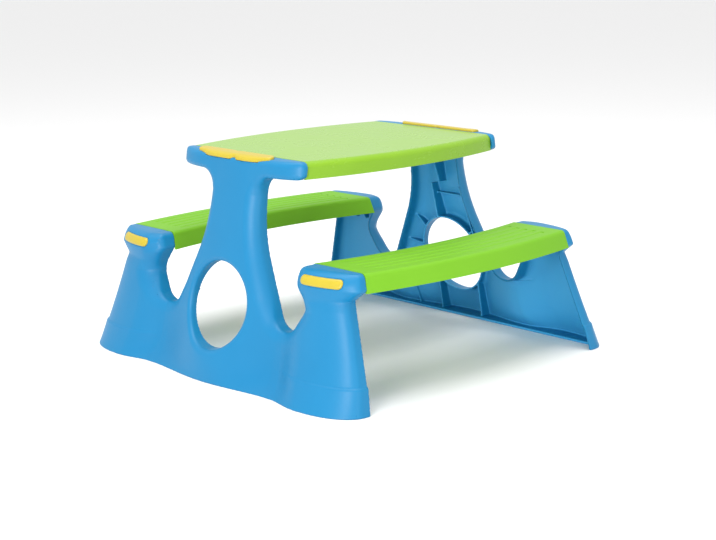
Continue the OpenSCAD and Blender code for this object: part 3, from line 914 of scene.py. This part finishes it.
    def gussets(self) -> Array:
        """Field of the gussets that hold the bench shelves up.

        Returns:
            The field.
        """
        s, block = self.face.s, self.block
        rim, low = s.rim_x(s.bench_shelf), s.bench_shelf - s.wall / 2
        slope = np.array((s.gusset_h - s.wall / 2, s.frame_depth - 12))
        slope /= -np.linalg.norm(slope)
        profile = np.maximum.reduce(np.broadcast_arrays(
            (block.x - rim) * slope[0] + (block.z - low) * slope[1], block.z - low,
            s.bench_shelf - s.gusset_h - block.z, block.x - rim - s.frame_depth))
        beside = np.abs(block.y) - s.seat_y
        nearest = np.minimum.reduce([np.abs(beside - offset) for offset in (-30, 5, 40)])
        return np.maximum(nearest - s.rib_t / 2, profile)

    def mould(self) -> Net:
        """Moulds the end frame.

        Returns:
            Its surface.
        """
        s, block = self.face.s, self.block
        flat = self.outline.astype(np.float32)[None]
        rim = (s.rim_x(block.z) - block.x) / np.sqrt(1 + s.lean ** 2)
        whole, unopened = self.rolled(0.0), self.rolled(0.0, False)
        outer = smooth_max(smooth_max(whole, flat, self.crease), rim, self.rim_blend)
        least = self.least_wall * s.wall
        hollow = np.maximum(self.rolled(s.wall, False), smooth_max(unopened, flat, self.crease) + least)
        beside = np.maximum(self.rolled(s.wall), whole + least)
        hollow = np.maximum(hollow, np.minimum(beside, self.past_collar()))
        hollow = smooth_max(hollow, flat + s.rim_w, self.lip_blend)
        fill = np.minimum(self.gussets(), self.shelves(s.frame_depth))
        for part in self.ribs():
            fill = -smooth_max(-fill, -part, self.rib_blend)
        hollow = smooth_max(hollow, -fill, self.crease)
        solid = np.minimum(smooth_max(outer, -hollow, self.inner_blend), self.shelves(s.wall))
        solid = smooth_max(solid, self.opening.astype(np.float32)[None], self.hole_blend)
        floor_cut = np.maximum(
            np.maximum(block.x - s.rim_reach - s.foot_depth + 52, block.z - s.rim_w - 1),
            np.abs(block.y) - s.foot_half + 2 * s.wall)
        solid = np.maximum(solid, -floor_cut)
        for recess in TrimMould(self.face).recesses(block):
            solid = np.maximum(solid, -recess)
        net = block.net(solid).relax(self.rounds)
        net.points[:, 2] = np.clip(net.points[:, 2], 0, s.table_h)
        return net


class Wire:
    """The output of a shader node, which takes part in expressions on values."""

    def __init__(self, shader: "Shader", socket: bpy.types.NodeSocket | None) -> None:
        """Keeps the socket and the shader that it belongs to.

        Args:
            shader: Shader that new nodes are added to.
            socket: Output socket that carries the value, or None where the tree ends.
        """
        self.shader = shader
        self.socket = socket

    def _maths(self, operation: str, first: "Wire | float", second: "Wire | float") -> "Wire":
        """Adds one Math node.

        Args:
            operation: Name of the operation.
            first: Left side.
            second: Right side.

        Returns:
            The node's result.
        """
        return self.shader.node("ShaderNodeMath", {"operation": operation}, {0: first, 1: second})

    def __add__(self, other: "Wire | float") -> "Wire":
        """Sum."""
        return self._maths("ADD", self, other)

    def __radd__(self, other: float) -> "Wire":
        """Sum with a number on the left."""
        return self._maths("ADD", other, self)

    def __sub__(self, other: "Wire | float") -> "Wire":
        """Difference."""
        return self._maths("SUBTRACT", self, other)

    def __rsub__(self, other: float) -> "Wire":
        """Difference with a number on the left."""
        return self._maths("SUBTRACT", other, self)

    def __mul__(self, other: "Wire | float") -> "Wire":
        """Product."""
        return self._maths("MULTIPLY", self, other)

    def __rmul__(self, other: float) -> "Wire":
        """Product with a number on the left."""
        return self._maths("MULTIPLY", other, self)

    def __pow__(self, other: "Wire | float") -> "Wire":
        """Power."""
        return self._maths("POWER", self, other)

    def clamped(self) -> "Wire":
        """The value held between 0 and 1."""
        return self._maths("MINIMUM", self._maths("MAXIMUM", self, 0.0), 1.0)


class Shader:
    """The node tree of one material, ending in one surface."""

    def __init__(self, name: str) -> None:
        """Makes an empty material.

        Args:
            name: Name of the material.
        """
        self.material = bpy.data.materials.new(name)
        self.material.use_nodes = True
        self.tree = self.material.node_tree
        self.tree.nodes.clear()

    def node(self, kind: str, settings: dict[str, object], inputs: dict, output: int | str = 0) -> Wire:
        """Adds a node.

        Args:
            kind: Type of the node.
            settings: Properties of the node, set before its sockets.
            inputs: Values or wires for its sockets, by name or number.
            output: Name or number of the socket that is handed on.

        Returns:
            The chosen output.
        """
        made = self.tree.nodes.new(kind)
        for name, value in settings.items():
            setattr(made, name, value)
        for name, value in inputs.items():
            if isinstance(value, Wire):
                self.tree.links.new(value.socket, made.inputs[name])
            else:
                made.inputs[name].default_value = value
        return Wire(self, made.outputs[output] if made.outputs else None)

    def place(self) -> Wire:
        """Position on the object, in metres."""
        return self.node("ShaderNodeTexCoord", {}, {}, "Object")

    def painted_light_mask(self, place: Wire) -> Wire:
        """Finds the inner sides, which face the middle of the table behind the rim of an end frame, where
        a paler colour is painted on as light.

        Args:
            place: Place on the piece.

        Returns:
            A value that is above zero there.
        """
        rim_edge, blur = 0.002, 0.004
        reach, height = (self.node("ShaderNodeSeparateXYZ", {}, {0: place}, name) for name in "XZ")
        behind = (reach * reach) ** 0.5 + height * SIZES.lean - SIZES.rim_reach * MM - rim_edge
        both = self.stretched(place, self.node("ShaderNodeTexCoord", {}, {}, "Normal"))
        facing = 0.0 - self.node("ShaderNodeSeparateXYZ", {}, {0: both}, "X")
        return facing * (behind * (1 / blur)).clamped()

    def stretched(self, place: Wire, scale: Corner | Wire) -> Wire:
        """Scales a position along each axis.

        Args:
            place: Position to scale.
            scale: Factor along X, Y and Z.

        Returns:
            The scaled position.
        """
        return self.node("ShaderNodeVectorMath", {"operation": "MULTIPLY"}, {0: place, 1: scale})

    def noise(self, place: Wire, scale: float, detail: float = 3.0, roughness: float = 0.5) -> Wire:
        """Adds soft noise.

        Args:
            place: Position on the object.
            scale: Cells in a metre.
            detail: Number of finer layers.
            roughness: Strength of the finer layers.

        Returns:
            The noise, from 0 to 1.
        """
        return self.node("ShaderNodeTexNoise", {},
                         {"Vector": place, "Scale": scale, "Detail": detail, "Roughness": roughness})

    def blended(self, mask: Wire, low: Colour | Wire, high: Colour | Wire) -> Wire:
        """Mixes two colours.

        Args:
            mask: Share of the second colour.
            low: First colour.
            high: Second colour.

        Returns:
            The mixed colour.
        """
        def four(colour: Colour | Wire) -> tuple[float, ...] | Wire:
            """A colour with its alpha."""
            return colour if isinstance(colour, Wire) else (*colour, 1.0)

        return self.node("ShaderNodeMix", {"data_type": "RGBA"}, {0: mask, 6: four(low), 7: four(high)}, 2)

    def bump(self, height: Wire, depth: float, below: Wire | None = None) -> Wire:
        """Turns a height into a normal.

        Args:
            height: Height, from 0 to 1.
            depth: Height of 1, in metres.
            below: Normal that this one is laid over.

        Returns:
            The normal.
        """
        inputs = {"Height": height, "Distance": depth, "Strength": 1.0}
        if below is not None:
            inputs["Normal"] = below
        return self.node("ShaderNodeBump", {}, inputs)

    def finish(self, inputs: dict) -> bpy.types.Material:
        """Closes the tree with a surface.

        Args:
            inputs: Values or wires for the surface's sockets.

        Returns:
            The material.
        """
        surface = self.node("ShaderNodeBsdfPrincipled", {}, inputs)
        self.node("ShaderNodeOutputMaterial", {}, {"Surface": surface})
        return self.material


@dataclass(frozen=True)
class MouldedPlastic:
    """Injection-moulded plastic with a fine grain, faint clouds of pigment, light scuffs and paler painted
    light on inner sides.
    """

    name: str
    colour: Colour
    cloud: Colour
    roughness: float
    grain_depth: float = 0.00006
    sink_depth: float = 0.0005
    specular: float = 0.5
    scuff_share: float = 0.07
    # Paler colour painted on the inner sides of an end frame: painted light that stands in for light
    # reaching the inside.
    inside: Colour | None = None
    cloud_scale: float = 7.0
    sink_scale: float = 16.0
    grain_scale: float = 1500.0
    scuff_stretch: Corner = (14.0, 90.0, 60.0)
    # How quickly the painted light on the inner sides comes to full strength.
    painted_light_gain: float = 3.6

    def material(self) -> bpy.types.Material:
        """Builds the material.

        Returns:
            The finished material.
        """
        shader = Shader(self.name)
        place = shader.place()
        clouds = shader.noise(place, self.cloud_scale, 4.0, 0.55)
        sinks = shader.noise(place, self.sink_scale, 1.0)
        grain = shader.noise(place, self.grain_scale, 2.0, 0.6)
        scuffs = shader.noise(shader.stretched(place, self.scuff_stretch), 3.0, 5.0, 0.65)
        worn = ((scuffs - 0.56) * 6.0).clamped()
        colour = shader.blended(((clouds - 0.35) * 2.2).clamped(), self.colour, self.cloud)
        # Painted light: the inner sides of an end frame are painted paler, standing in for light reaching
        # them.
        if self.inside:
            inner = (shader.painted_light_mask(place) * self.painted_light_gain).clamped()
            colour = shader.blended(inner, colour, self.inside)
        rough = self.roughness + (clouds - 0.5) * 0.10 + worn * self.scuff_share
        waves = shader.bump(sinks, self.sink_depth)
        return shader.finish({
            "Base Color": colour,
            "Roughness": rough,
            "Normal": shader.bump(grain, self.grain_depth, waves),
            "Specular IOR Level": self.specular,
            "IOR": 1.49,
        })


@dataclass(frozen=True)
class PlatedSteel:
    """Zinc-plated steel of a screw, with turned marks."""

    name: str
    colour: Colour

    def material(self) -> bpy.types.Material:
        """Builds the material.

        Returns:
            The finished material.
        """
        shader = Shader(self.name)
        place = shader.place()
        marks = shader.noise(shader.stretched(place, (400.0, 400.0, 2500.0)), 1.0, 4.0)
        colour = shader.blended(marks, self.colour, tuple(c * 0.8 for c in self.colour))
        return shader.finish({
            "Base Color": colour,
            "Metallic": 1.0,
            "Roughness": 0.28 + marks * 0.2,
            "Normal": shader.bump(marks, 0.00002),
        })


FINISHES = {
    # The blue's inside colour is painted light: a paler blue on the inner sides of the end frames.
    Slot.FRAME: MouldedPlastic(
        "blue moulded plastic", (0.003, 0.167, 0.354), (0.005, 0.178, 0.371), 0.42,
        specular=0.35, inside=(0.044, 0.330, 0.630)),
    Slot.SEAT: MouldedPlastic(
        "green moulded plastic", (0.150, 0.395, 0.014), (0.164, 0.412, 0.018), 0.55, specular=0.22),
    Slot.TRIM: MouldedPlastic(
        "yellow moulded plastic", (0.445, 0.345, 0.018), (0.465, 0.360, 0.022), 0.36, sink_depth=0.0002),
    Slot.SCREW: PlatedSteel("plated steel", (0.62, 0.63, 0.65)),
}
# The table top is the same green plastic. Its lower roughness and higher specular are real gloss. Its
# yellower base and cloud colours are painted sheen, standing in for the warm reflection on the top.
POLISHED_WITH_PAINTED_SHEEN = {
    "table_top": MouldedPlastic(
        "polished green plastic with painted sheen", (0.190, 0.375, 0.012), (0.203, 0.392, 0.016), 0.27,
        grain_depth=0.000004, sink_depth=0.00005, specular=0.42, scuff_share=0.01),
}


@dataclass
class Studio:
    """The floor, the lamps and the camera."""

    floor_half: float = 40.0
    floor_grey: float = 0.90
    floor_roughness: float = 0.9
    world_strength: float = 0.95
    aim_height: float = 0.25
    lamps: tuple[tuple[str, Corner, float, float], ...] = (
        ("front", (-3.5, -1.9, 0.9), 1.2, 80.0),
        ("top", (-0.4, 0.0, 3.6), 3.0, 112.0),
        ("side", (-1.1, -3.3, 0.5), 1.4, 14.0),
    )
    camera_place: Corner = (-2.4497, -2.6874, 0.9834)
    camera_right: Corner = (0.7313, -0.6819, -0.0141)
    camera_up: Corner = (0.1581, 0.1493, 0.9761)
    camera_back: Corner = (-0.6634, -0.7161, 0.2170)
    focal_length: float = 80.79
    sensor_width: float = 36.0

    def build(self) -> None:
        """Builds the whole studio."""
        self.floor()
        self.world()
        for lamp in self.lamps:
            self.lamp(*lamp)
        self.camera()
        bpy.context.scene.view_settings.view_transform = "Standard"
        log.info("studio built")

    def floor(self) -> None:
        """Lays a plain pale floor."""
        size = self.floor_half
        corners = [(x * size, y * size, 0) for x, y in ((-1, -1), (1, -1), (1, 1), (-1, 1))]
        mesh = bpy.data.meshes.new("floor")
        mesh.from_pydata(corners, [], [(0, 1, 2, 3)])
        floor = bpy.data.objects.new("floor", mesh)
        bpy.context.scene.collection.objects.link(floor)
        shader = Shader("pale floor")
        mesh.materials.append(shader.finish(
            {"Base Color": (*[self.floor_grey] * 3, 1.0), "Roughness": self.floor_roughness}))

    def world(self) -> None:
        """Surrounds the object with even white light."""
        world = bpy.data.worlds.new("studio light")
        bpy.context.scene.world = world
        world.use_nodes = True
        inputs = world.node_tree.nodes["Background"].inputs
        inputs["Color"].default_value = (1.0, 1.0, 1.0, 1.0)
        inputs["Strength"].default_value = self.world_strength

    def lamp(self, name: str, place: Corner, size: float, power: float) -> None:
        """Hangs a soft square lamp that faces the middle of the table.

        Args:
            name: Name of the lamp.
            place: Where it hangs.
            size: Length of its sides.
            power: Power in watts.
        """
        data = bpy.data.lights.new(name, "AREA")
        data.size = size
        data.energy = power
        lamp = bpy.data.objects.new(name, data)
        bpy.context.scene.collection.objects.link(lamp)
        lamp.location = place
        aim = Vector((0, 0, self.aim_height)) - lamp.location
        lamp.rotation_euler = aim.to_track_quat("-Z", "Y").to_euler()

    def camera(self) -> None:
        """Sets up the camera where the photograph was taken from."""
        data = bpy.data.cameras.new("camera")
        data.lens = self.focal_length
        data.sensor_width = self.sensor_width
        camera = bpy.data.objects.new("camera", data)
        bpy.context.scene.collection.objects.link(camera)
        axes = Matrix((self.camera_right, self.camera_up, self.camera_back)).transposed()
        camera.matrix_world = Matrix.Translation(self.camera_place) @ axes.to_4x4()
        bpy.context.scene.camera = camera


@dataclass
class Assembly:
    """The finished table: the pieces moulded again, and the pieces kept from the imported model."""

    nodes: dict[str, bpy.types.Object]
    finishes: dict[Slot, bpy.types.Material]

    def add(self, node: str, net: Net, slot: Slot, turned: Pair = (1, 1)) -> None:
        """Puts a moulded piece in the place of its node.

        Args:
            node: Name of the node that it stands for.
            net: Its surface.
            slot: Material slot of its finish.
            turned: Signs of X and Y.
        """
        piece = bpy.data.objects.new(f"{node}_moulded", net.mesh(node, turned))
        bpy.context.scene.collection.objects.link(piece)
        piece.data.materials.append(self.finishes[slot])
        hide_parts(node)
        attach(piece, "root")
        log.info("%s has %d faces", piece.name, len(net.quads))

    def end_frames(self) -> None:
        """Moulds the end frame and stands it at both ends, turned half round."""
        net = FrameMould(Face(SIZES)).mould()
        self.add("end_frame_right", net, Slot.FRAME)
        self.add("end_frame_left", net, Slot.FRAME, (-1, -1))

    def trims(self) -> None:
        """Moulds the trims."""
        mould = TrimMould(Face(SIZES))
        top, bench = mould.top(), mould.bench()
        self.add("table_trim_right", top, Slot.TRIM)
        self.add("table_trim_left", top, Slot.TRIM, (-1, -1))
        for row, y in (("front", -1), ("rear", 1)):
            for side, x in (("left", -1), ("right", 1)):
                self.add(f"bench_trim_{row}_{side}", bench, Slot.TRIM, (x, y))

    def kept(self) -> None:
        """Gives the other nodes the finishes of their material slots, and the table top a polished green
        with painted sheen.
        """
        for part in frame["record"]["subparts"]:
            node, slot = self.nodes[part["node"]], Slot(part["material_slot"])
            if slot in (Slot.SEAT, Slot.SCREW):
                special = POLISHED_WITH_PAINTED_SHEEN.get(part["node"])
                node.data.materials.clear()
                node.data.materials.append(special.material() if special else self.finishes[slot])
                log.info("%s dressed in %s", node.name, slot.value)


def main() -> None:
    """Builds the classes in order."""
    logging.basicConfig(level=logging.INFO)
    assembly = Assembly(frame["nodes"], {slot: finish.material() for slot, finish in FINISHES.items()})
    assembly.end_frames()
    assembly.trims()
    assembly.kept()
    Studio().build()


if __name__ == "__main__":
    main()
